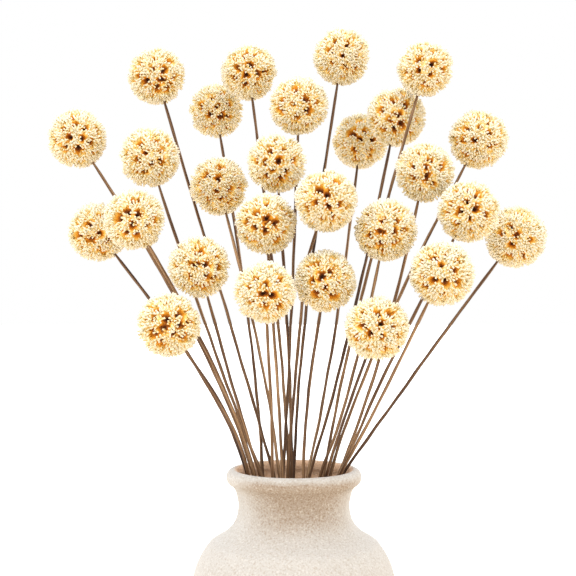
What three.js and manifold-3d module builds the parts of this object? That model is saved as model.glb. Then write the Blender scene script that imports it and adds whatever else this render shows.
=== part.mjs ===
// Billy buttons: 27 dried, globe-shaped flower heads on thin stems, standing in a round stoneware vase.
// Millimetres, +Z up. The origin is the centre of the vase's flat base, and -Y is the arrangement's front.
import * as THREE from 'three';
import { ConvexGeometry } from 'three/addons/geometries/ConvexGeometry.js';
import { mergeVertices } from 'three/addons/utils/BufferGeometryUtils.js';
import Module from 'manifold-3d';

const wasm = await Module();
wasm.setup();

// --- Vase -------------------------------------------------------------------------------------------------
const BODY_RADIUS = 51.3; // widest part of the body
const BODY_HEIGHT = 42; // half height of the ellipse that the body's wall follows
const BODY_Z = 34.5; // height of the widest part
const FOOT_RADIUS = 28.5; // flat base
const FOOT_BEVEL = 1.2;
const SHOULDER_TOP = 57.5; // where the body's ellipse turns into the hollow under the neck
const SHOULDER_PULL = [-2.8, 3.7]; // how the hollow's curve leaves the shoulder, across and up
const HOLLOW_PULL_Z = 63; // how low the neck's straight line pulls the hollow's curve
const NECK_RADIUS = 28;
const NECK_BOTTOM = 77;
const NECK_TOP = 78.5;
const LIP_RADIUS = 30.5; // middle of the rolled lip
const LIP_Z = 91.3;
const LIP_HALF_WIDTH = 3.55;
const LIP_HALF_HEIGHT = 4;
const LIP_START = -0.39 * Math.PI; // the lip's arc, from under its outer edge to under its inner edge
const LIP_END = 1.15 * Math.PI;
const LIP_FILLET = [1.2, 2.2]; // from the neck to the lip, across and down
const MOUTH_FILLET = [0.6, 3];
const WALL = 4;
const FLOOR = 5;
const VASE_SIDES = 32;

// --- Flower heads and stems -------------------------------------------------------------------------------
// Each row is one flower: its head's centre (across, depth, height) and diameter, the point (across, depth)
// where its stem passes the mouth of the vase, and how far it leans there, as a share of the straight line's
// lean from that point to the head.
const FLOWERS = [
  [25, 34, 305.7, 30, 0, 12.5, 0.3],
  [65.5, 2, 295.5, 28, 15, 1, 0.65],
  [-71.5, 34, 295.5, 30, -10.5, 13, 0.95],
  [-23.5, 38, 298, 29.5, -2.5, 7.5, 0.45],
  [2.5, 10, 278, 30, -5.5, 4, 1.45],
  [-42, 62, 280, 29.5, -16, 15, 0.4],
  [52.5, 22, 273, 30.5, 8, 6, 1.3],
  [36, 58, 263.5, 30, 7.5, 16, 1.45],
  [-109.5, 10, 261.3, 30, -21, 5, 0.55],
  [-71.5, -6, 251, 30, -16, 1, 1.15],
  [92.7, 6, 260.5, 30, 18.5, 8, 0.65],
  [-8.6, -10, 247.7, 29.5, -1.5, -4, 0],
  [63.6, -16, 242.9, 29.5, 22, 0, 1.45],
  [-38.5, 20, 237.6, 30, -6.5, -3, 0.5],
  [14.7, -44, 228.3, 29.5, 0.5, -9, 0.75],
  [-76.1, -34, 219.5, 29.5, -19, -6, 0.55],
  [-98.8, 8, 214, 30, -23, -1, 0.45],
  [-13.5, -32, 217.5, 29.5, -5.5, -10, 0.75],
  [43.5, -34, 214.5, 30, 12.5, -8, 1.45],
  [82.8, -34, 223.6, 30, 22.5, -4, 0.8],
  [111, 2, 211.5, 31, 24.5, 3.5, 0.95],
  [-45, -38, 197, 29.5, -16, -14, 1.1],
  [-13.6, -60, 185.8, 29, -10.5, -18, 0],
  [14.5, -40, 190.4, 29.5, 4.5, -16, 0],
  [68, -56, 194.4, 30, 22, -7.5, 1.1],
  [-58.3, -54, 170.4, 30, -22, -9, 0.35],
  [37.5, -62, 169.5, 30, 15, -15, 0.85],
];

const STEM_RADIUS = 0.8;
const STEM_SIDES = 6;
const FOOT_LIFT = 0.7; // the foot's centre above the floor, so that its slanted cut stays just clear of it
const SOCKET_DEPTH = 6.5; // how far a stem's hole reaches into the head
const SOCKET_SIDES = 6;
const SEAT_GAP = 0.3; // clearance of a stem at the end of its hole
const SOCKET_GAP = 0.45; // clearance of a stem at the sides of its hole

// The stems draw together inside the vase and spread again to their feet.
const LEVELS_IN_VASE = 4;
const FOOT_SPREAD = 1.2; // a foot's distance from the axis, as a multiple of its mouth point's
const FOOT_SLOPE = 2.3;
const STEM_SPACING = 2.4; // least distance between the middles of two stems at one height
const HEAD_SPACING = 1.7; // least distance from a stem's middle to the surface of a head it passes
const SETTLE_ROUNDS = 300;
const STIFF_ROUNDS = 220; // rounds in which a stem's bends are also evened out
const STIFFNESS = 0.4;
const LONGEST_PUSH = 1; // of a stem off a head in one round

// --- The florets of a head --------------------------------------------------------------------------------
const FLORET_TIPS = 66;
const TIP_SCATTER = 0.14; // how far a tip strays from the even pattern, in head radii
const TIP_SHORTEST = 0.95; // tips reach 0.95 to 1 of the head's radius
const VALLEY = 0.87; // between three tips
const PIT = 0.66; // in an open pit
const PIT_SHARE = 0.17; // of the valleys that are pits
const STEM_SIDE = -0.8; // no pit where a direction's cosine with the stem's is below this

const GOLDEN_ANGLE = Math.PI * (3 - Math.sqrt(5));

/** A seeded source of even random numbers from 0 to 1. */
function randomSource(seed) {
  let state = seed * 2654435761 + 12345;
  return () => {
    state = (state + 0x6d2b79f5) | 0;
    let value = Math.imul(state ^ (state >>> 15), 1 | state);
    value = (value + Math.imul(value ^ (value >>> 7), 61 | value)) ^ value;
    return ((value ^ (value >>> 14)) >>> 0) / 4294967296;
  };
}

// --- Vase -------------------------------------------------------------------------------------------------

/** Points of an ellipse's arc in the plane of the profile, from one angle to another. */
function arc(radius, z, halfWidth, halfHeight, start, end, steps) {
  const curve = new THREE.EllipseCurve(radius, z, halfWidth, halfHeight, start, end, end < start);
  return curve.getPoints(steps);
}

/** The vase's wall from `bottom` to the neck, at a given distance inside the outer face. */
function wallProfile(inset, bottom, steps) {
  const halfHeight = BODY_HEIGHT - inset;
  const width = BODY_RADIUS - inset;
  const body = arc(0, BODY_Z, width, halfHeight, Math.asin((bottom - BODY_Z) / halfHeight),
    Math.asin((SHOULDER_TOP - inset / 2 - BODY_Z) / halfHeight), steps);
  const shoulder = body.pop();
  const neck = NECK_RADIUS - inset;
  const hollow = new THREE.CubicBezierCurve(
    shoulder,
    new THREE.Vector2(...SHOULDER_PULL).add(shoulder),
    new THREE.Vector2(neck, HOLLOW_PULL_Z - inset / 2),
    new THREE.Vector2(neck, NECK_BOTTOM),
  );
  return [...body, ...hollow.getPoints(steps)];
}

function makeVase() {
  const outside = wallProfile(0, FOOT_BEVEL, 5);
  const inside = wallProfile(WALL, FLOOR + FOOT_BEVEL, 3).reverse();
  const lip = arc(LIP_RADIUS, LIP_Z, LIP_HALF_WIDTH, LIP_HALF_HEIGHT, LIP_START, LIP_END, 7);
  const underLip = LIP_Z - LIP_HALF_HEIGHT;
  const profile = [
    new THREE.Vector2(0, 0),
    new THREE.Vector2(FOOT_RADIUS, 0),
    ...outside,
    new THREE.Vector2(NECK_RADIUS, NECK_TOP),
    new THREE.Vector2(NECK_RADIUS + LIP_FILLET[0], underLip - LIP_FILLET[1]),
    ...lip,
    new THREE.Vector2(NECK_RADIUS - WALL + MOUTH_FILLET[0], underLip - MOUTH_FILLET[1]),
    ...inside,
    new THREE.Vector2(FOOT_RADIUS, FLOOR),
    new THREE.Vector2(0, FLOOR),
  ];
  const vase = new THREE.LatheGeometry(profile, VASE_SIDES);
  vase.rotateX(Math.PI / 2); // the lathe turns about Y
  return vase;
}

// --- Routes of the stems ----------------------------------------------------------------------------------

const footZ = FLOOR + FOOT_LIFT;
const levelStep = (LIP_Z - footZ) / LEVELS_IN_VASE;

/**
 * A stem before it meets its neighbours: across and depth at each level, from its foot to under its head.
 * Above the mouth it bends as a rod does that is held there and pulled aside at its head.
 */
function freeRoute(flower) {
  const [x, y, z, diameter, mouthX, mouthY, leanShare] = flower;
  const mouth = new THREE.Vector2(mouthX, mouthY);
  const rise = z - LIP_Z;
  const straight = new THREE.Vector2(x, y).sub(mouth); // from the mouth to the head
  const lean = straight.clone().multiplyScalar(leanShare / rise);
  const bend = straight.clone().addScaledVector(lean, -rise);
  const points = [];
  for (let level = 0; footZ + level * levelStep < z - diameter / 2 - 6; level += 1) {
    const height = level * levelStep + footZ - LIP_Z;
    if (height < 0) {
      const t = -height / (LIP_Z - footZ);
      const point = mouth.clone().multiplyScalar(
        (1 + 2 * t) * (1 - t) ** 2 + t ** 2 * (3 - 2 * t) * FOOT_SPREAD + t ** 2 * (t - 1) * FOOT_SLOPE);
      points.push(point.addScaledVector(lean, t * (1 - t) ** 2 * (footZ - LIP_Z)));
    } else {
      const u = height / rise;
      const point = mouth.clone().addScaledVector(lean, height);
      points.push(point.addScaledVector(bend, (3 * u ** 2 - u ** 3) / 2));
    }
  }
  return points;
}

/** Where a stem would be one level above its last point, on the straight line into its head. */
function pointAbove(route, head) {
  const last = route[route.length - 1];
  const rise = head.z - (footZ + (route.length - 1) * levelStep);
  return new THREE.Vector2(head.x, head.y).sub(last).multiplyScalar(levelStep / rise).add(last);
}

/** Moves two neighbouring levels of a route by `push`, shared by how near each is to the touching place. */
function nudge(route, level, share, push) {
  const total = share ** 2 + (1 - share) ** 2;
  route[level].addScaledVector(push, (1 - share) / total);
  if (level + 1 < route.length) route[level + 1].addScaledVector(push, share / total);
}

/** Pushes two stems apart wherever they come closer than their spacing. */
function partStems(a, b) {
  const shared = Math.min(a.route.length, b.route.length);
  for (let level = 0; level < shared; level += 1) {
    const start = a.route[level].clone().sub(b.route[level]);
    const topA = a.route[level + 1] ?? pointAbove(a.route, a.head);
    const topB = b.route[level + 1] ?? pointAbove(b.route, b.head);
    const change = topA.clone().sub(topB).sub(start);
    const share = THREE.MathUtils.clamp(-start.dot(change) / Math.max(change.lengthSq(), 1e-6), 0, 1);
    const gap = start.addScaledVector(change, share);
    const missing = STEM_SPACING - gap.length();
    if (missing > 0) {
      gap.setLength(missing / 2);
      nudge(a.route, level, share, gap);
      nudge(b.route, level, share, gap.negate());
    }
  }
}

/** Pushes a stem sideways off a head that it passes. */
function clearHead(stem, head) {
  const line = new THREE.Line3();
  const nearest = new THREE.Vector3();
  for (let level = LEVELS_IN_VASE; level < stem.route.length; level += 1) {
    const z = footZ + level * levelStep;
    const above = stem.route[level + 1] ?? pointAbove(stem.route, stem.head);
    line.start.set(stem.route[level].x, stem.route[level].y, z);
    line.end.set(above.x, above.y, z + levelStep);
    const share = line.closestPointToPointParameter(head, true);
    line.at(share, nearest).sub(head);
    const missing = head.radius + HEAD_SPACING - nearest.length();
    if (missing > 0) {
      const push = new THREE.Vector2(nearest.x, nearest.y).setLength(Math.min(missing, LONGEST_PUSH));
      nudge(stem.route, level, share, push);
    }
  }
}

/** Evens out how far each level of a stem was pushed off its free route. */
function stiffen(stem) {
  const moved = stem.route.map((point, level) => point.clone().sub(stem.free[level]));
  const still = new THREE.Vector2();
  stem.route.forEach((point, level) => {
    const below = moved[level - 1] ?? moved[level];
    const above = moved[level + 1] ?? still;
    const even = below.clone().add(above).multiplyScalar(0.5);
    point.addScaledVector(even.sub(moved[level]), STIFFNESS);
  });
}

/** Lets the stems lean on each other and on the heads they pass until none touches another. */
function settle(stems) {
  for (let round = 0; round < SETTLE_ROUNDS; round += 1) {
    if (round < STIFF_ROUNDS) stems.forEach(stiffen);
    for (const a of stems) {
      for (const b of stems) {
        if (b.index > a.index) partStems(a, b);
        if (b !== a) clearHead(a, b.head);
      }
    }
  }
}

const stems = FLOWERS.map((flower, index) => {
  const head = new THREE.Vector3(flower[0], flower[1], flower[2]);
  head.radius = flower[3] / 2;
  return { index, head, free: freeRoute(flower), route: freeRoute(flower) };
});
settle(stems);

for (const stem of stems) {
  const top = stem.route.length - 1;
  const last = new THREE.Vector3(stem.route[top].x, stem.route[top].y, footZ + top * levelStep);
  stem.direction = stem.head.clone().sub(last).normalize(); // into the head
}

// --- Stems and heads --------------------------------------------------------------------------------------

/** A polygon with its corners on a circle. */
function polygon(radius, sides) {
  const corners = Array.from({ length: sides }, (_, side) => {
    const angle = side / sides * 2 * Math.PI;
    return new THREE.Vector2(radius * Math.cos(angle), radius * Math.sin(angle));
  });
  return new THREE.Shape(corners);
}

/** A tube along the given points, with one ring at each of them. */
function tube(points, radius, sides) {
  const path = new THREE.CatmullRomCurve3(points, false, 'centripetal');
  path.getUtoTmapping = (u) => u;
  return new THREE.ExtrudeGeometry(polygon(radius, sides), { extrudePath: path, steps: points.length - 1 });
}

function makeStem(stem) {
  const end = stem.head.clone().addScaledVector(stem.direction, SOCKET_DEPTH - SEAT_GAP - stem.head.radius);
  const points = stem.route.map(({ x, y }, level) => new THREE.Vector3(x, y, footZ + level * levelStep));
  return tube([...points, end], STEM_RADIUS, STEM_SIDES);
}

/** A geometry as a solid with shared corners. */
function toSolid(geometry) {
  const bare = geometry.clone();
  bare.deleteAttribute('normal');
  bare.deleteAttribute('uv');
  const merged = mergeVertices(bare, 1e-4);
  return new wasm.Manifold(new wasm.Mesh({
    numProp: 3,
    vertProperties: new Float32Array(merged.attributes.position.array),
    triVerts: new Uint32Array(merged.index.array),
  }));
}

function toGeometry(solid) {
  const mesh = solid.getMesh();
  const geometry = new THREE.BufferGeometry();
  geometry.setAttribute('position', new THREE.BufferAttribute(mesh.vertProperties, 3));
  geometry.setIndex(new THREE.BufferAttribute(mesh.triVerts, 1));
  return geometry;
}

/** Directions spread evenly over a ball, each strayed a little, and turned as a whole. */
function floretDirections(random) {
  const turn = new THREE.Quaternion(random() - 0.5, random() - 0.5, random() - 0.5, random() - 0.5);
  turn.normalize();
  return Array.from({ length: FLORET_TIPS }, (_, tip) => {
    const z = 1 - (2 * tip + 1) / FLORET_TIPS;
    const ring = Math.sqrt(1 - z * z);
    const angle = tip * GOLDEN_ANGLE;
    const stray = new THREE.Vector3(random() - 0.5, random() - 0.5, random() - 0.5);
    const direction = new THREE.Vector3(ring * Math.cos(angle), ring * Math.sin(angle), z);
    return direction.applyQuaternion(turn).addScaledVector(stray, TIP_SCATTER).normalize();
  });
}

/** A head: a ball of floret tips with a valley between each three of them, some as deep as a pit. */
function makeHead(stem) {
  const random = randomSource(stem.index + 1);
  const { radius } = stem.head;
  const directions = floretDirections(random);
  const hull = new ConvexGeometry(directions).getAttribute('position');
  const reach = directions.map(() => radius * THREE.MathUtils.lerp(TIP_SHORTEST, 1, random()));
  const tipAt = (corner) => {
    const direction = new THREE.Vector3().fromBufferAttribute(hull, corner);
    const tip = directions.findIndex((other) => other.distanceTo(direction) < 1e-5);
    return directions[tip].clone().multiplyScalar(reach[tip]);
  };
  const corners = [];
  for (let face = 0; face < hull.count; face += 3) {
    const tips = [tipAt(face), tipAt(face + 1), tipAt(face + 2)];
    const middle = tips[0].clone().add(tips[1]).add(tips[2]).normalize();
    const byStem = middle.dot(stem.direction) < STEM_SIDE;
    const depth = random() < PIT_SHARE && !byStem ? PIT : VALLEY;
    const valley = middle.multiplyScalar(depth * radius);
    for (let side = 0; side < 3; side += 1) {
      corners.push(tips[side], tips[(side + 1) % 3], valley);
    }
  }
  const ball = toSolid(new THREE.BufferGeometry().setFromPoints(corners));
  const outer = stem.direction.clone().multiplyScalar(-radius - 2);
  const inner = stem.direction.clone().multiplyScalar(SOCKET_DEPTH - radius);
  const holeRadius = (STEM_RADIUS + SOCKET_GAP) / Math.cos(Math.PI / SOCKET_SIDES);
  const hole = toSolid(tube([outer, inner], holeRadius, SOCKET_SIDES));
  return toGeometry(ball.subtract(hole));
}

// --- The whole arrangement --------------------------------------------------------------------------------

const stoneware = new THREE.MeshStandardMaterial({ color: 0xe6ddd0, roughness: 0.85, metalness: 0 });
const driedStem = new THREE.MeshStandardMaterial({ color: 0x7d5b43, roughness: 0.8, metalness: 0 });
const florets = new THREE.MeshStandardMaterial({ color: 0xf0dfb4, roughness: 0.9, metalness: 0 });

function named(name, geometry, material) {
  const mesh = new THREE.Mesh(geometry, material.clone());
  mesh.name = name;
  return mesh;
}

const arrangement = new THREE.Group();
arrangement.add(named('vase', makeVase(), stoneware));
for (const stem of stems) {
  const number = String(stem.index + 1).padStart(2, '0');
  arrangement.add(named(`stem_${number}`, makeStem(stem), driedStem));
  const head = named(`head_${number}`, makeHead(stem), florets);
  head.position.copy(stem.head);
  arrangement.add(head);
}

export default arrangement;
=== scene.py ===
"""Billy buttons in a stoneware vase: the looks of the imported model. Metres, +Z up, front towards -Y."""

import math

import bmesh
import bpy
import numpy as np
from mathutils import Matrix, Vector


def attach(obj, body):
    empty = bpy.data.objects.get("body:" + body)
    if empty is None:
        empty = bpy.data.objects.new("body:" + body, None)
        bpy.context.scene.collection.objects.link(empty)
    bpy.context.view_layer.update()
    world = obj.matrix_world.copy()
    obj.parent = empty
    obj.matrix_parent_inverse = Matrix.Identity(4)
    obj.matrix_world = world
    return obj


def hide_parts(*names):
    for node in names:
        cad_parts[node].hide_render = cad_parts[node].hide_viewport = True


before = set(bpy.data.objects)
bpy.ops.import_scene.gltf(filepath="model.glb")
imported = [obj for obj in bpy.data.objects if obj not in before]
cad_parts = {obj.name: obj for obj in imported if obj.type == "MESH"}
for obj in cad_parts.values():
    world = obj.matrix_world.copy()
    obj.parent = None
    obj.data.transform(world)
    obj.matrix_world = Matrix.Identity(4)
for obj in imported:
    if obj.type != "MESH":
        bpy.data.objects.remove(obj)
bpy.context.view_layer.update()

MM = 0.001
FLOWERS = sum(name.startswith("head_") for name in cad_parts)
GOLDEN_ANGLE = math.pi * (3 - math.sqrt(5))
ASIDE = (0.31, 0.52, 0.79)  # a direction that no stem has
POINT_DIGITS = 7  # to which packed points are told apart, in metres

# --- Heads, in millimetres --------------------------------------------------------------------------------
# A stray is a share of the points' spacing. The radii of pits and the socket are along the head's surface.
TIP_SHARE = 0.91  # packed points past this share of the greatest reach are tips
MEAN_TIP_REACH = 0.975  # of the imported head's tips, in head radii
FLORET_REACH = 0.4  # of the finer florets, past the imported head's radius

BODY_DEPTH = 2.7  # of the closed body that the florets stand on
BODY_SPACING = 1.0  # of its points
BODY_STRAY = 0.28
BODY_ROUGHNESS = 0.3

PITS = 46  # drawn for each head; those at its stem are left out
PIT_STRAY = 0.17
PIT_RADII = (2.5, 4.9)
PIT_DEPTH = 4.8  # from the body down, at most
FULL_PIT_RADIUS = 2.6  # a pit with a smaller radius is less deep
PIT_SHAPE = 0.8  # exponent of a pit's profile
PIT_WARP = 1.7  # how far a pit's edge wanders
PIT_WAVES = 7  # that make up its wandering
PIT_WAVE_NUMBERS = (13, 27)

FLORET_SPACING = 1.5  # of the places where a floret may stand
FLORET_STRAY = 0.45
FLORET_GAP = 1.65  # at least, between the middles of two florets
FLORET_PIT_SHARE = 0.36  # how far down into a pit florets stand
FLORET_SINK = 6.0  # how much lower they would stand at its middle
FLORET_LEAN = 0.16  # spread of its axis, in radians
FLORET_SIZES = (0.84, 1.14)
STALK_FOOT_DEPTH = 3.7
STALK_RADIUS = 0.62
HUB_DEPTHS = (1.7, 2.6)  # at which a floret's stalk parts into its limbs
HUB_RADIUS = 0.58
HUB_HEIGHT = 0.9  # from the stalk's top to the limbs' roots
HUB_HOLLOW = 0.3  # how far its middle lies below them

LIMBS = 3
LIMB_REACH = 1.2  # from the floret's middle to a limb's end
LIMB_REACH_SHARES = (0.7, 1.25)
LIMB_TURN = 0.07  # most that a limb strays round the floret, as a share of a turn
LIMB_BEND = (0.60, 0.42)  # how far out and up a limb's bend is, as shares of the way to its end
LIMB_TIP_DEPTHS = (0.0, 0.9)
LIMB_HALF_WIDTHS = (0.42, 0.51)  # at its bend, and at its end
LIMB_THICKNESSES = (0.85, 0.8)
LIMB_KEEL = 0.7  # how far out and down a limb's underside lies, in thicknesses
LIMB_SWELLS = (0.8, 1.2)
LIMB_CAP = 0.35
LIMB_CAP_LEAN = 0.25  # how far out a limb's cap lies, as a share of how far up

# Groups of a floret's points, each with one for every limb, except for the single point of the hollow.
FLORET_PARTS = (
    "foot", "top", "edge", "left", "right", "under", "tip_left", "tip_right", "tip_under", "cap", "hollow",
)

SOCKET_RADIUS = 1.15
SOCKET_DEPTH = 6.8
SOCKET_SIDES = 9
SOCKET_RINGS = ((1.08, 0.0), (0.96, 0.5), (0.92, 0.98))  # shares of its radius, and of its depth
BODY_CLEARANCE = 1.5  # of the body's other points from the stem, in socket radii
FLORET_CLEARANCE = 1.7  # of the florets and pits

# The florets' colour follows their depth, but not everywhere. Deeper colour is partly their own amber and
# partly painted shade.
UNDERSIDE_SHADE_DEPTH = 0.6  # added on the underside of a limb, as painted shade
SIDE_SHADE_DEPTH = 0.75  # added on faces that don't face outwards, as painted shade
SINK_IN_COLOUR = 0.55  # share of a lower floret's sinking that its colour shows, as painted shade in the pit
COLOUR_DEPTH = 7.5  # where the ramp of floret colours ends
COLOUR_MAP = "OFBake"  # the UV map that an export bakes colours through, laid out here by depth and tone
COLOUR_MAP_SHARE = 0.94  # of the map, over which depths and tones are spread
# Added to a triangle's corners in the map, so that it has an area there even where its colour is all one.
COLOUR_MAP_CORNERS = ((0.02, 0.02), (0.028, 0.02), (0.024, 0.028))
ROUNDNESS = 0.35  # how far the shading of a floret follows that of the whole head

# --- Stems, in millimetres --------------------------------------------------------------------------------
STEM_SEED = 100
STEM_RADIUS_AT_FOOT = 0.89
STEM_RADIUS_AT_HEAD = 0.81
STEM_END_RADIUS = 0.44  # at its very end, inside the head
STEM_TAPER = 30  # length from that end over which its radius would gain a millimetre
STEM_RIBS = 5
STEM_RIB_SIZES = (0.94, 1.06)
STEM_GROOVE = 0.86  # radius between two ribs, as a share of that on a rib
STEM_FLATNESS = (0.80, 0.95)
STEM_SWELL = 0.09
STEM_SWELL_WAVES = (24, 40)
STEM_WOBBLE = 0.16
STEM_WOBBLE_WAVES = (38, 60)
STEM_TWIST_LENGTHS = (160, 420)
WANDER_WAVES = ((0.6, 1.0), (0.4, 0.43))  # shares and relative lengths
RING_STEP = 3.6
PACKED_RING_GAP = 4  # less than the height between two rings of a packed stem

# --- Vase, in millimetres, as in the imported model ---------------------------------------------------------
BODY_RADIUS = 51.3
BODY_HEIGHT = 42.0
BODY_Z = 34.5
FOOT_RADIUS = 28.5
FOOT_BEVEL = 1.2
FOOT_FLAT = 2.0  # from the flat base's last ring to the foot's edge
FOOT_CURVE = ((-1.0, 0.0), (0.0, 0.0), (0.8, 0.3))  # out from the foot's edge, and up
SHOULDER_TOP = 57.5
SHOULDER_PULL = (-2.8, 3.7)
HOLLOW_PULL_Z = 63.0
NECK_RADIUS = 28.0
NECK_BOTTOM = 77.0
NECK_TOP = 78.5
LIP_RADIUS = 30.5
LIP_Z = 91.3
LIP_HALF_WIDTH = 3.55
LIP_HALF_HEIGHT = 4.0
LIP_START = -0.39 * math.pi
LIP_END = 1.15 * math.pi
LIP_FILLET = (1.2, 2.2)
MOUTH_FILLET = (0.6, 3.0)
WALL = 4.0
FLOOR = 5.0
VASE_SIDES = 128
LIP_STEPS = 22
FILLET_STEPS = 7
FOOT_STEPS = 4
OUTSIDE_STEPS = 30  # of the body, and as many of the hollow above it
INSIDE_STEPS = 14

# --- Colours and grain ------------------------------------------------------------------------------------
BLACK = (0, 0, 0)
WHITE = (1, 1, 1)

# From the florets' ends (0) down to COLOUR_DEPTH (1): cream, then amber that is partly their own colour and
# partly painted shade, then painted shade that turns brown and near black down in the pits.
FLORET_COLOURS_AND_SHADE = (
    (0.03, (0.840, 0.790, 0.700)),
    (0.12, (0.855, 0.810, 0.700)),
    (0.23, (0.885, 0.835, 0.670)),
    (0.34, (0.910, 0.800, 0.510)),
    (0.46, (0.930, 0.645, 0.180)),
    (0.60, (0.765, 0.318, 0.016)),
    (0.78, (0.270, 0.075, 0.006)),
    (0.95, (0.045, 0.012, 0.004)),
)
# By a floret's own tone.
FLORET_TINTS = ((0.0, (0.94, 0.90, 0.82)), (0.35, (0.98, 0.97, 0.95)), (1.0, WHITE))

STEM_COLOURS = (
    (0.34, (0.026, 0.010, 0.004)),
    (0.44, (0.074, 0.034, 0.015)),
    (0.54, (0.158, 0.086, 0.041)),
    (0.66, (0.370, 0.235, 0.131)),
)
FIBRE_SCALE = (7.0, 26.0, 1.0)  # round the stem, and along it
FIBRE_NOISE = (1.0, 3.0, 0.6)  # scale, detail and roughness
PATCH_SCALE = (1.2, 16.0, 1.0)
PATCH_NOISE = (1.0, 2.0, 0.5)
FIBRE_SHARE = 0.62
PATCH_SHARE = 0.38
STEM_TONE = 0.10  # how much lighter the lightest stem is than the darkest, along the ramp
FIBRE_RELIEF = (0.5, 0.25 * MM)  # strength and distance

# The stoneware's heights, radii and other places are in tenths of a metre, so that ramps can run over them.
TENTHS = 10.0
GRAIN_NOISE = (1100.0, 2.0, 0.6)  # scale, detail and roughness
SAND_NOISE = (480.0, 3.0, 0.6)
CLOUD_NOISE = (30.0, 3.0, 0.55)
CLAY_COLOURS = ((0.464, 0.449, 0.434), (0.498, 0.485, 0.471))
CLAY_CLOUDS = (0.32, 0.70)  # noise levels of the first clay colour and of the second
# Multiplies the clay as painted shade at the front of the neck and of the lip's lower half.
NECK_SHADE_TINT = (0.715, 0.617, 0.53)
INSIDE_COLOUR = (0.55, 0.37, 0.25)
DARK_GRAIN = (0.32, 0.47)  # noise levels of the darkest grains and of the first plain clay
DARK_GRAIN_TINT = (0.68, 0.56, 0.45)
LIGHT_GRAIN = (0.55, 0.70)  # noise levels of the last plain clay and of the lightest grains
LIGHT_GRAIN_GAIN = (0.17, 0.175, 0.175)
GRAIN_SHARES = (0.4, 0.5)  # how strongly grains show: added where the neck's shade is painted, and everywhere
# Heights, and how strongly shade is painted there: painted shade under the lip and the bouquet, where grains
# also show more.
NECK_SHADE_HEIGHTS = ((0.63, 0.0), (0.71, 0.20), (0.785, 0.83), (0.85, 1.0), (0.965, 1.0), (0.988, 0.0))
NECK_SHADE_STRAY = 0.10  # of its heights, with the clouds
NECK_SHADE_TO_RIGHT = 0.16  # how far the middle of its front lies to the right, as a share of forwards
NECK_SHADE_FRONT = (0.12, 0.27)  # forwards of the axis: where it starts, and where it is full
# A cone between the neck's inner and outer faces: how much it widens upwards, and its radii at a height.
MOUTH_SLOPE = 0.3
MOUTH_Z = 0.78
MOUTH_RADII = (0.238, 0.252)
CLAY_RELIEF = (0.9, 1.0 * MM)  # strength and distance
SAND_RELIEF_SHARE = 0.6
GRAIN_RELIEF_SHARE = 0.5

# --- Stage, light and camera, in metres -------------------------------------------------------------------
STAGE_RADIUS = 3.0
STAGE_SIDES = 96
FLOOR_ROWS = ((0.001, 0), (0.5, 0), (STAGE_RADIUS, 0))  # radius and height
FLOOR_COLOUR = (0.86, 0.86, 0.86)
FLOOR_GLOW = 0.42
BACKDROP_GLOW = 1.0
DOME_STEP = 6  # degrees
DOME_HOLE = 0.01  # radius of the hole at the dome's top

# World colours from the front (0) to the back (1), and from below (0) to above (1).
BACK = (-0.09, 0.98, 0.12)
COLOURS_TO_BACK = (
    (0.0, (0.73, 0.69, 0.64)),
    (0.15, (0.84, 0.81, 0.76)),
    (0.30, (0.93, 0.91, 0.885)),
    (0.50, (0.96, 0.96, 0.955)),
)
UP = (-0.10, 0.0, 1.0)
COLOURS_UPWARDS = ((0.15, (1.0, 0.83, 0.62)), (0.5, (1.0, 0.96, 0.895)), (0.64, WHITE))
WORLD_STRENGTH = 2.08

KEY_PLACE = (-0.20, -0.50, 1.5)
KEY_TARGET = (0, 0, 0.2)
KEY_SIZE = 0.9
KEY_POWER = 6.0
KEY_COLOUR = (1.0, 0.985, 0.96)

CAMERA_PLACE = (-0.003, -0.720, 0.208)
CAMERA_DIP = 1.75  # degrees below the horizon
CAMERA_RANGE = (0.01, 20)
LENS = 90  # millimetres
SENSOR_WIDTH = 36  # millimetres


# --- Nodes and pieces -------------------------------------------------------------------------------------

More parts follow.
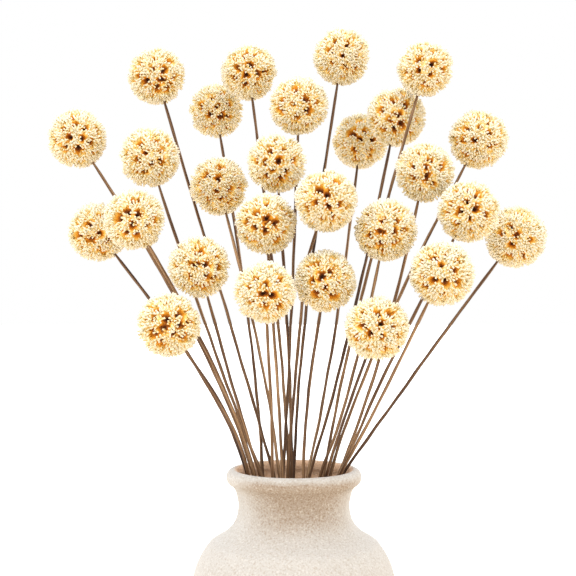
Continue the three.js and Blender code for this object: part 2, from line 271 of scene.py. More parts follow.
class NodeTree:
    """A node tree, with short ways to add and link nodes."""

    def __init__(self, owner):
        owner.use_nodes = True
        self.nodes = owner.node_tree.nodes
        self.links = owner.node_tree.links

    def add(self, kind, settings=None, **sockets):
        """A new node. A socket's name has _ for each space."""
        node = self.nodes.new(kind)
        for key, value in (settings or {}).items():
            setattr(node, key, value)
        for key, value in sockets.items():
            self.set(node.inputs[key.replace("_", " ")], value)
        return node

    def set(self, socket, value):
        """Links a socket to another node's output, or gives it a value."""
        if isinstance(value, bpy.types.NodeSocket):
            self.links.new(value, socket)
        else:
            socket.default_value = value

    def ramp(self, factor, stops):
        """The colour at a factor between stops, which are (place, colour)."""
        node = self.add("ShaderNodeValToRGB", Fac=factor)
        elements = node.color_ramp.elements
        while len(elements) < len(stops):
            elements.new(0.5)
        for element, (place, colour) in zip(elements, stops):
            element.position = place
            element.color = (*colour, 1)
        return node.outputs["Color"]

    def rise(self, factor, start, end):
        """0 up to `start`, and 1 from `end`."""
        return self.ramp(factor, [(start, BLACK), (end, WHITE)])

    def fall(self, factor, start, end):
        """1 up to `start`, and 0 from `end`."""
        return self.ramp(factor, [(start, WHITE), (end, BLACK)])

    def noise(self, vector, scale, detail, roughness):
        node = self.add("ShaderNodeTexNoise", Vector=vector, Scale=scale, Detail=detail, Roughness=roughness)
        return node.outputs["Fac"]

    def scaled(self, vector, scale):
        return self.add("ShaderNodeMapping", Vector=vector, Scale=scale).outputs["Vector"]

    def operate(self, kind, operation, values):
        """The outputs of a node that calculates with values."""
        node = self.add(kind, {"operation": operation})
        for socket, value in zip(node.inputs, values):
            self.set(socket, value)
        return node.outputs

    def math(self, operation, *values):
        return self.operate("ShaderNodeMath", operation, values)["Value"]

    def weighted(self, a, share_a, b, share_b):
        """The sum of two values, each with its share."""
        return self.math("ADD", self.math("MULTIPLY", a, share_a), self.math("MULTIPLY", b, share_b))

    def vector(self, operation, *values):
        """The outputs "Vector" and "Value" of vector arithmetic."""
        return self.operate("ShaderNodeVectorMath", operation, values)

    def mix(self, factor, a, b, blend="MIX"):
        """Two colours mixed. A Mix node has them at inputs 6 and 7, its factor at 0 and its output at 2."""
        node = self.add("ShaderNodeMix", {"data_type": "RGBA", "blend_type": blend})
        self.set(node.inputs[0], factor)
        for place, colour in ((6, a), (7, b)):
            self.set(node.inputs[place], colour if isinstance(colour, bpy.types.NodeSocket) else (*colour, 1))
        return node.outputs[2]


class Shader(NodeTree):
    """A material, with the inputs of its surface."""

    def __init__(self, name, roughness, specular):
        self.material = bpy.data.materials.new(name)
        super().__init__(self.material)
        self.surface = self.nodes["Principled BSDF"].inputs
        self.surface["Roughness"].default_value = roughness
        self.surface["Specular IOR Level"].default_value = specular

    def attribute(self, name):
        return self.add("ShaderNodeAttribute", {"attribute_name": name}).outputs["Fac"]

    def bump(self, height, strength, distance):
        node = self.add("ShaderNodeBump", Height=height, Strength=strength, Distance=distance)
        self.set(self.surface["Normal"], node.outputs["Normal"])


def add_piece(name, vertices, faces, material, replaced, origin=(0, 0, 0), attributes=None,
              uv_maps=None):
    """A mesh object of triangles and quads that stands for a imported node.

    Vertices are in metres round `origin`. An attribute has a value for each vertex or, flattened, for each
    corner of a face.
    """
    mesh = bpy.data.meshes.new(name)
    corners = np.concatenate([np.asarray(part).ravel() for part in faces]).astype(np.int32)
    sizes = np.concatenate([np.full(len(part), np.asarray(part).shape[1]) for part in faces])
    mesh.vertices.add(len(vertices))
    mesh.vertices.foreach_set("co", np.asarray(vertices, np.float32).ravel())
    mesh.loops.add(len(corners))
    mesh.loops.foreach_set("vertex_index", corners)
    mesh.polygons.add(len(sizes))
    mesh.polygons.foreach_set("loop_start", np.concatenate([[0], np.cumsum(sizes)[:-1]]).astype(np.int32))
    mesh.update(calc_edges=True)
    for key, values in (attributes or {}).items():
        attribute = mesh.attributes.new(key, "FLOAT", "POINT" if len(values) == len(vertices) else "CORNER")
        attribute.data.foreach_set("value", np.asarray(values, np.float32))
    for key, values in (uv_maps or {}).items():
        mesh.uv_layers.new(name=key).data.foreach_set("uv", np.asarray(values, np.float32).ravel())
    mesh.polygons.foreach_set("use_smooth", np.full(len(sizes), True))
    mesh.materials.append(material)
    mesh.validate()
    piece = bpy.data.objects.new(name, mesh)
    piece.location = origin
    bpy.context.scene.collection.objects.link(piece)
    bpy.context.view_layer.update()
    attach(piece, "root")
    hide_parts(replaced)
    return piece


def node_points(name):
    """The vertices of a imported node, in millimetres."""
    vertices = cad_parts[name].data.vertices
    points = np.empty(len(vertices) * 3)
    vertices.foreach_get("co", points)
    return np.unique(points.reshape(-1, 3).round(POINT_DIGITS), axis=0) / MM


def ring_faces(levels, sides):
    """Quads between rings of points that are listed one after another."""
    row, column = np.mgrid[0:levels - 1, 0:sides]
    after = (column + 1) % sides
    here = row * sides
    above = here + sides
    return np.stack([here + column, here + after, above + after, above + column], axis=2).reshape(-1, 4)


def end_faces(levels, sides):
    """Triangles from the first and the last ring to their middles, the two points that follow the rings."""
    here = np.arange(sides)
    after = (here + 1) % sides
    last = (levels - 1) * sides
    middle = np.full(sides, levels * sides)
    first_end = np.stack([middle, after, here], axis=1)
    last_end = np.stack([middle + 1, last + here, last + after], axis=1)
    return first_end, last_end


# --- Materials --------------------------------------------------------------------------------------------

def floret_material():
    """Cream at the florets' ends, amber between them, and darker and browner down in the pits: partly the
    florets' own colours, partly painted shade in the crevices and pits.
    """
    shader = Shader("dried_florets", roughness=0.78, specular=0.3)
    # Painted shade: the depth ramp darkens and browns the florets in crevices, on undersides and down in the
    # pits.
    colour = shader.ramp(shader.attribute("depth"), FLORET_COLOURS_AND_SHADE)
    tint = shader.ramp(shader.attribute("tone"), FLORET_TINTS)
    shader.set(shader.surface["Base Color"], shader.mix(1.0, colour, tint, "MULTIPLY"))
    return shader.material


def stem_material():
    """Brown fibres along the stem, in lighter and darker patches."""
    shader = Shader("dried_stem", roughness=0.68, specular=0.35)
    grain = shader.add("ShaderNodeUVMap", {"uv_map": "Grain"}).outputs["UV"]
    tone = shader.attribute("tone")
    fibres = shader.noise(shader.scaled(grain, FIBRE_SCALE), *FIBRE_NOISE)
    patches = shader.noise(shader.scaled(grain, PATCH_SCALE), *PATCH_NOISE)
    level = shader.weighted(fibres, FIBRE_SHARE, patches, PATCH_SHARE)
    level = shader.math("ADD", level, shader.math("MULTIPLY", shader.math("SUBTRACT", tone, 0.5), STEM_TONE))
    shader.set(shader.surface["Base Color"], shader.ramp(level, STEM_COLOURS))
    shader.bump(fibres, *FIBRE_RELIEF)
    return shader.material


def painted_neck_shade(shader, axes, clouds):
    """How strongly shade is painted on the clay: up to 1 at the front of the neck and of the lip's lower
    half, and 0 elsewhere.
    """
    height = shader.weighted(axes["Z"], TENTHS, clouds, NECK_SHADE_STRAY)
    neck_shade = shader.ramp(height, [(place, (level, level, level)) for place, level in NECK_SHADE_HEIGHTS])
    forwards = shader.weighted(axes["X"], NECK_SHADE_TO_RIGHT * TENTHS, axes["Y"], -TENTHS)
    return shader.math("MULTIPLY", neck_shade, shader.rise(forwards, *NECK_SHADE_FRONT))


def inside_mouth(shader, place, axes):
    """1 on the inner face of the mouth and neck, and 0 on the outer face."""
    from_axis = shader.vector("LENGTH", shader.scaled(place, (TENTHS, TENTHS, 0.0)))["Value"]
    height = shader.math("MULTIPLY", axes["Z"], MOUTH_SLOPE * TENTHS)
    widening = shader.math("SUBTRACT", height, MOUTH_SLOPE * MOUTH_Z)
    return shader.fall(shader.math("SUBTRACT", from_axis, widening), *MOUTH_RADII)


def stoneware_material():
    """Pale sandy clay, with painted shade at the front of the neck and of the lip's lower half, where grains
    also show more strongly.
    """
    shader = Shader("sandy_stoneware", roughness=0.86, specular=0.25)
    place = shader.add("ShaderNodeTexCoord").outputs["Object"]
    axes = shader.add("ShaderNodeSeparateXYZ", Vector=place).outputs
    grain = shader.noise(place, *GRAIN_NOISE)
    sand = shader.noise(place, *SAND_NOISE)
    clouds = shader.noise(place, *CLOUD_NOISE)
    neck_shade = painted_neck_shade(shader, axes, clouds)
    colour = shader.mix(shader.rise(clouds, *CLAY_CLOUDS), *CLAY_COLOURS)
    # Painted shade: the front of the neck and of the lip's lower half darkened and warmed.
    colour = shader.mix(neck_shade, colour, shader.mix(1.0, colour, NECK_SHADE_TINT, "MULTIPLY"))
    colour = shader.mix(inside_mouth(shader, place, axes), colour, INSIDE_COLOUR)
    in_shade, everywhere = GRAIN_SHARES
    # Grains show more strongly where the neck's shade is painted.
    grain_strength = shader.math("ADD", shader.math("MULTIPLY", neck_shade, in_shade), everywhere)
    dark = shader.math("MULTIPLY", shader.fall(grain, *DARK_GRAIN), grain_strength)
    light = shader.math("MULTIPLY", shader.rise(grain, *LIGHT_GRAIN), grain_strength)
    colour = shader.mix(dark, colour, shader.mix(1.0, colour, DARK_GRAIN_TINT, "MULTIPLY"))
    colour = shader.mix(light, colour, shader.mix(1.0, colour, LIGHT_GRAIN_GAIN, "ADD"))
    shader.set(shader.surface["Base Color"], colour)
    shader.bump(shader.weighted(sand, SAND_RELIEF_SHARE, grain, GRAIN_RELIEF_SHARE), *CLAY_RELIEF)
    return shader.material


def stage_material(name, colour, glow):
    """A matt colour with a white glow."""
    shader = Shader(name, roughness=1.0, specular=0.0)
    shader.set(shader.surface["Base Color"], (*colour, 1))
    shader.set(shader.surface["Emission Color"], (*WHITE, 1))
    shader.set(shader.surface["Emission Strength"], glow)
    return shader.material


# --- Heads ------------------------------------------------------------------------------------------------

def unit(vectors):
    """Vectors of length 1 in the same directions."""
    return vectors / np.linalg.norm(vectors, axis=-1, keepdims=True)


def distance_on_ball(directions, others, radius):
    """How far directions are from another one, or from each of several, along a ball's surface."""
    return np.arccos(np.clip(directions @ others.T, -1, 1)) * radius


def count_on_ball(radius, spacing):
    """How many points cover a ball at a spacing, as in a honeycomb."""
    return round(4 * math.pi * radius ** 2 / (spacing ** 2 * math.sqrt(3) / 2))


def random_turn(random):
    """A rotation matrix drawn evenly."""
    turn, _ = np.linalg.qr(random.normal(size=(3, 3)))
    return turn * np.sign(np.linalg.det(turn))


def spread_directions(count, stray, random):
    """Directions spread evenly over a ball, each strayed by a share of their spacing."""
    steps = np.arange(count)
    z = 1 - (2 * steps + 1) / count
    ring = np.sqrt(1 - z * z)
    even = np.stack([ring * np.cos(steps * GOLDEN_ANGLE), ring * np.sin(steps * GOLDEN_ANGLE), z], axis=1)
    spacing = math.sqrt(4 * math.pi / count)
    strayed = even + random.uniform(-1, 1, (count, 3)) * stray * spacing
    return unit(strayed) @ random_turn(random).T


def head_size(name):
    """A packed head's centre and radius, from the ball that fits its floret tips best."""
    points = node_points(name)
    middle = (points.min(0) + points.max(0)) / 2
    distance = np.linalg.norm(points - middle, axis=1)
    tips = points[distance > TIP_SHARE * distance.max()]
    fit = np.linalg.lstsq(np.c_[2 * tips, np.ones(len(tips))], (tips ** 2).sum(1), rcond=None)[0]
    centre = fit[:3]
    return centre, math.sqrt(fit[3] + centre @ centre) / MEAN_TIP_REACH + FLORET_REACH


def ring_of(axis, angle, turns):
    """Directions at an angle from `axis`, one for each share of a turn. `angle` may differ for each."""
    side = unit(np.cross(axis, ASIDE))
    turn = turns * 2 * math.pi
    across = np.outer(np.cos(turn), side) + np.outer(np.sin(turn), np.cross(axis, side))
    return axis * np.cos(angle)[:, None] + across * np.sin(angle)[:, None]


def convex_faces(directions):
    """Triangles that join directions on a ball to their neighbours, facing outwards."""
    shell = bmesh.new()
    for direction in directions:
        shell.verts.new(direction)
    shell.verts.index_update()
    bmesh.ops.convex_hull(shell, input=shell.verts)
    bmesh.ops.triangulate(shell, faces=shell.faces)
    faces = np.array([[corner.index for corner in face.verts] for face in shell.faces])
    shell.free()
    a, b, c = directions[faces[:, 0]], directions[faces[:, 1]], directions[faces[:, 2]]
    inward = (np.cross(b - a, c - a) * a).sum(1) < 0
    faces[inward] = faces[inward, ::-1]
    return faces


def choose_pits(radius, to_stem, random):
    """A function that gives how far down a pit each direction is: 0 on the body, 1 at a deep middle."""
    pits = spread_directions(PITS, PIT_STRAY, random)
    size = random.uniform(*PIT_RADII, PITS)
    clear = distance_on_ball(pits, to_stem, radius) > size + SOCKET_RADIUS * FLORET_CLEARANCE
    pits, size = pits[clear], size[clear]
    waves = unit(random.normal(size=(PIT_WAVES, 3))) * random.uniform(*PIT_WAVE_NUMBERS, (PIT_WAVES, 1))

    def pit_share(directions):
        warp = PIT_WARP * np.sin(directions @ waves.T + waves[:, 0]).mean(1)
        reach = distance_on_ball(directions, pits, radius) + warp[:, None]
        return (np.clip(1 - reach / size, 0, 1) * np.minimum(1, size / FULL_PIT_RADIUS)).max(1)

    return pit_share


def body_mesh(radius, pit_share, to_stem, random):
    """The closed body under the florets, with pits and the stem's socket: vertices, depths and triangles."""
    directions = spread_directions(count_on_ball(radius, BODY_SPACING), BODY_STRAY, random)
    directions = directions[distance_on_ball(directions, to_stem, radius) > SOCKET_RADIUS * BODY_CLEARANCE]
    depth = [BODY_DEPTH + PIT_DEPTH * pit_share(directions) ** PIT_SHAPE
             + random.normal(size=len(directions)) * BODY_ROUGHNESS]
    directions = [directions]
    turns = np.arange(SOCKET_SIDES) / SOCKET_SIDES
    for number, (share, down) in enumerate(SOCKET_RINGS):
        angle = np.full(SOCKET_SIDES, share * SOCKET_RADIUS / radius)
        directions.append(ring_of(to_stem, angle, turns + number * 0.5 / SOCKET_SIDES))
        depth.append(np.full(SOCKET_SIDES, BODY_DEPTH + (SOCKET_DEPTH - BODY_DEPTH) * down))
    directions = np.concatenate(directions + [to_stem[None]])
    depth = np.concatenate(depth + [[SOCKET_DEPTH]])
    return directions * (radius - depth)[:, None], depth, convex_faces(directions)


def choose_florets(radius, pit_share, to_stem, random):
    """Directions of a head's florets, and how far down a pit each stands. None is in the stem's socket."""
    directions = spread_directions(count_on_ball(radius, FLORET_SPACING), FLORET_STRAY, random)
    random.shuffle(directions)
    clear = distance_on_ball(directions, to_stem, radius) > SOCKET_RADIUS * FLORET_CLEARANCE
    directions = directions[clear & (pit_share(directions) < FLORET_PIT_SHARE)]
    crowded = directions @ directions.T > math.cos(FLORET_GAP / radius)
    kept = []
    for floret in range(len(directions)):
        if not crowded[floret, kept].any():
            kept.append(floret)
    return directions[kept], pit_share(directions[kept])


def floret_vertices(directions, share, radius, random):
    """Every floret's points, in the order of FLORET_PARTS, as (florets, points, 3)."""
    count = len(directions)
    axis = unit(directions + random.normal(size=(count, 3)) * FLORET_LEAN)
    side = unit(np.cross(axis, random.normal(size=(count, 3))))
    other = np.cross(axis, side)
    size = random.uniform(*FLORET_SIZES, count)[:, None]
    sunk = FLORET_SINK * share[:, None]
    hub_depth = random.uniform(*HUB_DEPTHS, count)[:, None] + sunk
    foot_depth = STALK_FOOT_DEPTH + PIT_DEPTH * share[:, None] ** PIT_SHAPE
    foot = directions * (radius - foot_depth)
    hub = directions * (radius - hub_depth)

    def ring(middle, ring_radius, height, turns):
        """Points round `middle`; radius, height and share of a turn are (florets, points)."""
        angle = turns * 2 * math.pi
        across = side[:, None, :] * np.cos(angle)[:, :, None] + other[:, None, :] * np.sin(angle)[:, :, None]
        return middle[:, None, :] + across * ring_radius[:, :, None] + axis[:, None, :] * height[:, :, None]

    def limb(middle, half, thickness):
        """The left, right and under points of each limb's cross-section round `middle`."""
        keel = (out - axis[:, None, :]) * LIMB_KEEL * thickness
        return [middle - along * half, middle + along * half, middle + keel]

    flat = np.zeros((count, LIMBS))
    corner = flat + np.arange(LIMBS) / LIMBS
    way = corner + random.uniform(-LIMB_TURN, LIMB_TURN, (count, LIMBS))
    out = ring(np.zeros((count, 3)), flat + 1, flat, way)
    along = np.cross(axis[:, None, :], out)
    reach = LIMB_REACH * size * random.uniform(*LIMB_REACH_SHARES, (count, LIMBS))
    tip_depth = random.uniform(*LIMB_TIP_DEPTHS, (count, LIMBS)) + sunk
    rise = hub_depth - tip_depth
    tip = unit(ring(hub, reach, rise, way)) * (radius - tip_depth)[:, :, None]
    bend = ring(hub, reach * LIMB_BEND[0], rise * LIMB_BEND[1], way)
    swell = random.uniform(*LIMB_SWELLS, (count, LIMBS, 1))
    cap = tip + (out * LIMB_CAP_LEAN + axis[:, None, :]) * LIMB_CAP * swell
    cap = cap * np.minimum(1, radius / np.linalg.norm(cap, axis=2))[:, :, None]
    return np.concatenate([
        ring(foot, flat + STALK_RADIUS * size, flat, corner),
        ring(hub, flat + HUB_RADIUS * size, flat - HUB_HEIGHT, corner),
        ring(hub, flat + HUB_RADIUS * size, flat, corner + 0.5 / LIMBS),
        *limb(bend, LIMB_HALF_WIDTHS[0] * swell, LIMB_THICKNESSES[0]),
        *limb(tip, LIMB_HALF_WIDTHS[1] * swell, LIMB_THICKNESSES[1]),
        cap,
        (hub - axis * HUB_HOLLOW)[:, None, :],
    ], axis=1)


def floret_faces():
    """Triangles of one floret."""
    starts = range(0, len(FLORET_PARTS) * LIMBS, LIMBS)
    foot, top, edge, left, right, under, tip_left, tip_right, tip_under, cap, hollow = starts
    faces = []
    for here in range(LIMBS):
        after = (here + 1) % LIMBS
        a, b = edge + (here - 1) % LIMBS, edge + here  # either side of the limb's root
        faces += [
            (foot + here, foot + after, b), (foot + here, b, top + here), (foot + after, top + after, b),
            (hollow, a, b),
            (a, left + here, right + here), (a, right + here, b),
            (top + here, left + here, a), (top + here, under + here, left + here),
            (top + here, b, right + here), (top + here, right + here, under + here),
            (left + here, tip_left + here, tip_right + here), (left + here, tip_right + here, right + here),
            (left + here, under + here, tip_under + here), (left + here, tip_under + here, tip_left + here),
            (right + here, tip_under + here, under + here),
            (right + here, tip_right + here, tip_under + here),
            (tip_left + here, tip_under + here, cap + here), (tip_under + here, tip_right + here, cap + here),
            (tip_right + here, tip_left + here, cap + here),
        ]
    return np.array(faces)


def floret_depths(florets, share, radius):
    """How deep the colour of each floret point is, as (florets, points). Undersides count deeper, as painted
    shade.
    """
    below = np.repeat([UNDERSIDE_SHADE_DEPTH if part.endswith("under") else 0.0 for part in FLORET_PARTS], LIMBS)
    hidden_sink = (1 - SINK_IN_COLOUR) * FLORET_SINK * share[:, None]
    return radius - np.linalg.norm(florets, axis=2) + (below[:florets.shape[1]] - hidden_sink)


def colour_depths(points, faces, depth):
    """How deep the colour is at each corner of the faces, as a share of COLOUR_DEPTH. Faces that don't face
    outwards count deeper, as painted shade.
    """
    a, b, c = points[faces[:, 0]], points[faces[:, 1]], points[faces[:, 2]]
    outward = (unit(np.cross(b - a, c - a)) * unit(a + b + c)).sum(1)
    depth = depth[faces] + SIDE_SHADE_DEPTH * np.clip(1 - outward, 0, 1)[:, None]
    return np.clip(depth / COLOUR_DEPTH, 0, 1)


def round_shading(piece, points):
    """Turns a head's shading normals towards those of a ball."""
    normals = np.empty(len(points) * 3, np.float32)
    piece.data.vertex_normals.foreach_get("vector", normals)
    normals = unit(normals.reshape(-1, 3) * (1 - ROUNDNESS) + unit(points) * ROUNDNESS)
    piece.data.normals_split_custom_set_from_vertices(normals.tolist())


def make_head(number, material):
    """A head's florets and the body that they stand on, in one mesh."""
    name = f"head_{number:02d}"
    random = np.random.RandomState(number)
    centre, radius = head_size(name)
    to_stem = unit(stem_points(number)[-1] - centre)
    pit_share = choose_pits(radius, to_stem, random)
    body, body_depth, body_faces = body_mesh(radius, pit_share, to_stem, random)
    directions, share = choose_florets(radius, pit_share, to_stem, random)
    florets = floret_vertices(directions, share, radius, random)
    count, each = florets.shape[:2]
    triangles = floret_faces() + each * np.arange(count)[:, None, None]
    points = np.concatenate([florets.reshape(-1, 3), body])
    faces = np.concatenate([triangles.reshape(-1, 3), body_faces + count * each])
    depth = np.concatenate([floret_depths(florets, share, radius).ravel(), body_depth])
    depth = colour_depths(points, faces, depth)
    tone = np.concatenate([np.repeat(random.uniform(0, 1, count), each), np.ones(len(body))])
    colour_map = np.stack([depth, tone[faces]], axis=2) * COLOUR_MAP_SHARE + COLOUR_MAP_CORNERS
    piece = add_piece(f"{name}_florets", points * MM, [faces], material, name, centre * MM,
                      {"depth": depth.ravel(), "tone": tone}, {COLOUR_MAP: colour_map})
    round_shading(piece, points)


# --- Stems ------------------------------------------------------------------------------------------------

def stem_points(number):
    """The middle of each ring of a packed stem, from its foot up, in millimetres."""
    points = node_points(f"stem_{number:02d}")
    points = points[points[:, 2].argsort()]
    starts = np.nonzero(np.diff(points[:, 2]) > PACKED_RING_GAP)[0] + 1
    return np.array([ring.mean(0) for ring in np.split(points, starts)])


def smooth_route(points, step):
    """A smooth curve through the points, with a point about every `step`."""
    padded = np.concatenate([[2 * points[0] - points[1]], points, [2 * points[-1] - points[-2]]])
    route = []
    for before, start, end, after in zip(padded, padded[1:], padded[2:], padded[3:]):
        count = max(2, round(np.linalg.norm(end - start) / step))
        t = (np.arange(count) / count)[:, None]
        squared = 2 * before - 5 * start + 4 * end - after
        cubed = 3 * start - before - 3 * end + after
        route.append(0.5 * (2 * start + (end - before) * t + squared * t ** 2 + cubed * t ** 3))
    return np.concatenate(route + [points[-1:]])


def wander(along, waves, random):
    """A slow random curve along a stem, within -1 and 1. Its wavelength is drawn between two."""
    wavelength = random.uniform(*waves)
    total = np.zeros_like(along)
    for share, length in WANDER_WAVES:
        total += share * np.sin(along / (wavelength * length) * 2 * math.pi + random.uniform(0, 2 * math.pi))
    return total


def stem_rings(points, random):
    """A slightly crooked stem: its middles, its ribbed rings as (rings, points, 3), and their distances."""
    route = smooth_route(points, RING_STEP)
    along = np.concatenate([[0], np.cumsum(np.linalg.norm(np.diff(route, axis=0), axis=1))])
    share = along / along[-1]
    tangent = unit(np.gradient(route, axis=0))
    side = unit(np.cross(tangent, (0.0, 1.0, 0.0)))
    other = np.cross(side, tangent)
    free = np.sin(share * math.pi)[:, None] * STEM_WOBBLE
    for way in (side, other):
        route = route + way * wander(along, STEM_WOBBLE_WAVES, random)[:, None] * free
    radius = STEM_RADIUS_AT_FOOT + (STEM_RADIUS_AT_HEAD - STEM_RADIUS_AT_FOOT) * share
    radius = np.minimum(radius, STEM_END_RADIUS + (along[-1] - along) / STEM_TAPER)
    radius = radius * (1 + STEM_SWELL * wander(along, STEM_SWELL_WAVES, random))
    twist = random.uniform(0, 1) + along / random.uniform(*STEM_TWIST_LENGTHS)
    sides = 2 * STEM_RIBS
    angle = (np.arange(sides) / sides + twist[:, None]) * 2 * math.pi
    rib = np.where(np.arange(sides) % 2 == 0, 1.0, STEM_GROOVE) * random.uniform(*STEM_RIB_SIZES, sides)
    flat = random.uniform(*STEM_FLATNESS)
    x, y = np.cos(angle), flat * np.sin(angle)
    across = side[:, None, :] * x[:, :, None] + other[:, None, :] * y[:, :, None]
    rings = route[:, None, :] + across * (radius[:, None] * rib)[:, :, None]
    return route, rings, along


def grain_map(along, sides, offset):
    """UVs of a stem's faces: the share of a turn past `offset`, and metres along. Those of its ends are 0."""
    row, column = np.mgrid[0:len(along) - 1, 0:sides]
    u = np.stack([column, column + 1, column + 1, column], axis=2) / sides + offset
    v = np.stack([along[row], along[row], along[row + 1], along[row + 1]], axis=2) * MM
    end_corners = 2 * sides * 3
    return np.concatenate([np.stack([u, v], axis=3).reshape(-1, 2), np.zeros((end_corners, 2))])


def make_stem(number, material):
    """A ribbed stem, closed at both ends."""
    name = f"stem_{number:02d}"
    random = np.random.RandomState(STEM_SEED + number)
    route, rings, along = stem_rings(stem_points(number), random)
    levels, sides = rings.shape[:2]
    points = np.concatenate([rings.reshape(-1, 3), route[:1], route[-1:]])
    faces = [ring_faces(levels, sides), *end_faces(levels, sides)]
    tone = np.full(len(points), random.uniform(0, 1))
    add_piece(f"{name}_dried", points * MM, faces, material, name, attributes={"tone": tone},
              uv_maps={"Grain": grain_map(along, sides, number)})


# --- Vase -------------------------------------------------------------------------------------------------

def ellipse(radius, z, half_width, half_height, start, end, steps):
    """An arc of an ellipse round (radius, z), from one angle to another."""
    angle = np.linspace(start, end, steps + 1)
    return np.stack([radius + half_width * np.cos(angle), z + half_height * np.sin(angle)], axis=1)


def bezier(points, steps):
    """A cubic curve from the first of four points to the last."""
    a, b, c, d = np.array(points, float)
    t = np.linspace(0, 1, steps + 1)[:, None]
    return (1 - t) ** 3 * a + 3 * (1 - t) ** 2 * t * b + 3 * (1 - t) * t ** 2 * c + t ** 3 * d


def wall_profile(inset, bottom, steps):
    """The vase's wall from `bottom` to the neck, `inset` inside the outer face, as (radius, height)."""
    half_height = BODY_HEIGHT - inset
    start = math.asin((bottom - BODY_Z) / half_height)
    end = math.asin((SHOULDER_TOP - inset / 2 - BODY_Z) / half_height)
    body = ellipse(0, BODY_Z, BODY_RADIUS - inset, half_height, start, end, steps)
    shoulder = body[-1]
    neck = NECK_RADIUS - inset
    pull = (neck, HOLLOW_PULL_Z - inset / 2)
    hollow = bezier([shoulder, shoulder + SHOULDER_PULL, pull, (neck, NECK_BOTTOM)], steps)
    return np.concatenate([body[:-1], hollow])


def vase_profile():
    """The vase's section from the middle of its base, over the lip, to the middle of its floor."""
    outside = wall_profile(0, FOOT_BEVEL, OUTSIDE_STEPS)
    inside = wall_profile(WALL, FLOOR + FOOT_BEVEL, INSIDE_STEPS)[::-1]
    foot = bezier([*((FOOT_RADIUS + across, up) for across, up in FOOT_CURVE), outside[0]], FOOT_STEPS)
    lip = ellipse(LIP_RADIUS, LIP_Z, LIP_HALF_WIDTH, LIP_HALF_HEIGHT, LIP_START, LIP_END, LIP_STEPS)
    under_lip = LIP_Z - LIP_HALF_HEIGHT
    neck_end = (NECK_RADIUS + LIP_FILLET[0], under_lip - LIP_FILLET[1])
    under_edge = bezier([(NECK_RADIUS, NECK_TOP), neck_end, neck_end, lip[0]], FILLET_STEPS)
    mouth = NECK_RADIUS - WALL
    mouth_end = (mouth + MOUTH_FILLET[0], under_lip - MOUTH_FILLET[1])
    inner_edge = bezier([lip[-1], mouth_end, mouth_end, (mouth, NECK_BOTTOM)], FILLET_STEPS)
    return np.concatenate([
        [(0, 0), (FOOT_RADIUS - FOOT_FLAT, 0)],
        foot[:-1], outside,
        under_edge[:-1], lip, inner_edge[1:-1],
        inside, [(FOOT_RADIUS, FLOOR), (0, FLOOR)],
    ])


def make_vase(material):
    """The profile turned about the vase's axis."""
    rows = vase_profile()[1:-1]
    turn = np.arange(VASE_SIDES) / VASE_SIDES * 2 * math.pi
    rings = np.stack([np.outer(rows[:, 0], np.cos(turn)), np.outer(rows[:, 0], np.sin(turn)),
                      np.repeat(rows[:, 1:], VASE_SIDES, axis=1)], axis=2)
    points = np.concatenate([rings.reshape(-1, 3), [(0, 0, 0), (0, 0, FLOOR)]])
    faces = [ring_faces(len(rows), VASE_SIDES), *end_faces(len(rows), VASE_SIDES)]
    add_piece("stoneware_vase", points * MM, faces, material, "vase")


# --- Stage, light and camera ------------------------------------------------------------------------------

def add_stage(name, rows, material, unseen_by):
    """A round stage piece about the vertical axis, from (radius, height) rows. Some kinds of rays miss it."""
    turn = np.arange(STAGE_SIDES) / STAGE_SIDES * 2 * math.pi
    points = [(radius * math.cos(a), radius * math.sin(a), z) for radius, z in rows for a in turn]
    mesh = bpy.data.meshes.new(name)
    mesh.from_pydata(points, [], ring_faces(len(rows), STAGE_SIDES).tolist())
    mesh.materials.append(material)
    piece = bpy.data.objects.new(name, mesh)
    bpy.context.scene.collection.objects.link(piece)
    for kind in unseen_by:
        setattr(piece, f"visible_{kind}", False)


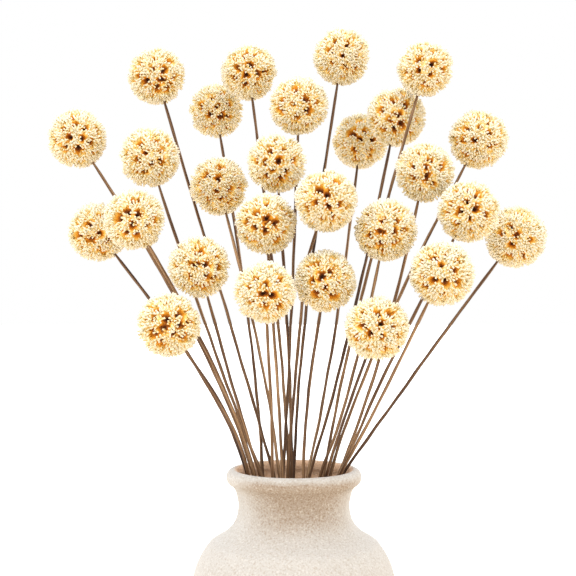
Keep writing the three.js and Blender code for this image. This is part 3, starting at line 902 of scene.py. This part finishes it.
def make_stage():
    """A white floor, and a white dome round it."""
    add_stage("floor", FLOOR_ROWS, stage_material("white_floor", FLOOR_COLOUR, FLOOR_GLOW),
              ("diffuse", "shadow"))
    angle = np.radians(np.arange(0, 90, DOME_STEP))
    dome_rows = [(STAGE_RADIUS * math.cos(a), STAGE_RADIUS * math.sin(a)) for a in angle]
    dome_rows.append((DOME_HOLE, STAGE_RADIUS))
    add_stage("backdrop", dome_rows, stage_material("white_backdrop", BLACK, BACKDROP_GLOW),
              ("diffuse", "glossy", "transmission", "shadow"))


def make_world():
    """Soft light from all round, weaker from the front, and warmer from below."""
    world = bpy.data.worlds.new("studio")
    bpy.context.scene.world = world
    tree = NodeTree(world)
    direction = tree.add("ShaderNodeTexCoord").outputs["Generated"]
    colours = []
    for axis, stops in ((BACK, COLOURS_TO_BACK), (UP, COLOURS_UPWARDS)):
        towards = tree.vector("DOT_PRODUCT", direction, axis)["Value"]
        share = tree.add("ShaderNodeMapRange", Value=towards, From_Min=-1.0).outputs["Result"]
        colours.append(tree.ramp(share, stops))
    background = tree.nodes["Background"].inputs
    tree.set(background["Color"], tree.vector("MULTIPLY", *colours)["Vector"])
    tree.set(background["Strength"], WORLD_STRENGTH)


def make_key_light():
    """A large soft lamp above the front."""
    light = bpy.data.lights.new("key", "AREA")
    light.shape = "DISK"
    light.size = KEY_SIZE
    light.energy = KEY_POWER
    light.color = KEY_COLOUR
    lamp = bpy.data.objects.new("key", light)
    lamp.location = KEY_PLACE
    lamp.rotation_mode = "QUATERNION"
    lamp.rotation_quaternion = (Vector(KEY_TARGET) - Vector(KEY_PLACE)).to_track_quat("-Z", "Y")
    bpy.context.scene.collection.objects.link(lamp)


def make_camera():
    """The photo's view, from a little above."""
    camera = bpy.data.cameras.new("camera")
    camera.lens = LENS
    camera.sensor_width = SENSOR_WIDTH
    camera.clip_start = CAMERA_RANGE[0]
    camera.clip_end = CAMERA_RANGE[1]
    holder = bpy.data.objects.new("camera", camera)
    holder.location = CAMERA_PLACE
    holder.rotation_euler = (math.radians(90 - CAMERA_DIP), 0, 0)
    bpy.context.scene.collection.objects.link(holder)
    bpy.context.scene.camera = holder


make_camera()
make_world()
make_key_light()
make_stage()
make_vase(stoneware_material())
stem_look = stem_material()
floret_look = floret_material()
for flower in range(1, FLOWERS + 1):
    make_stem(flower, stem_look)
    make_head(flower, floret_look)

bpy.context.scene.view_settings.view_transform = "Standard"
bpy.context.view_layer.update()
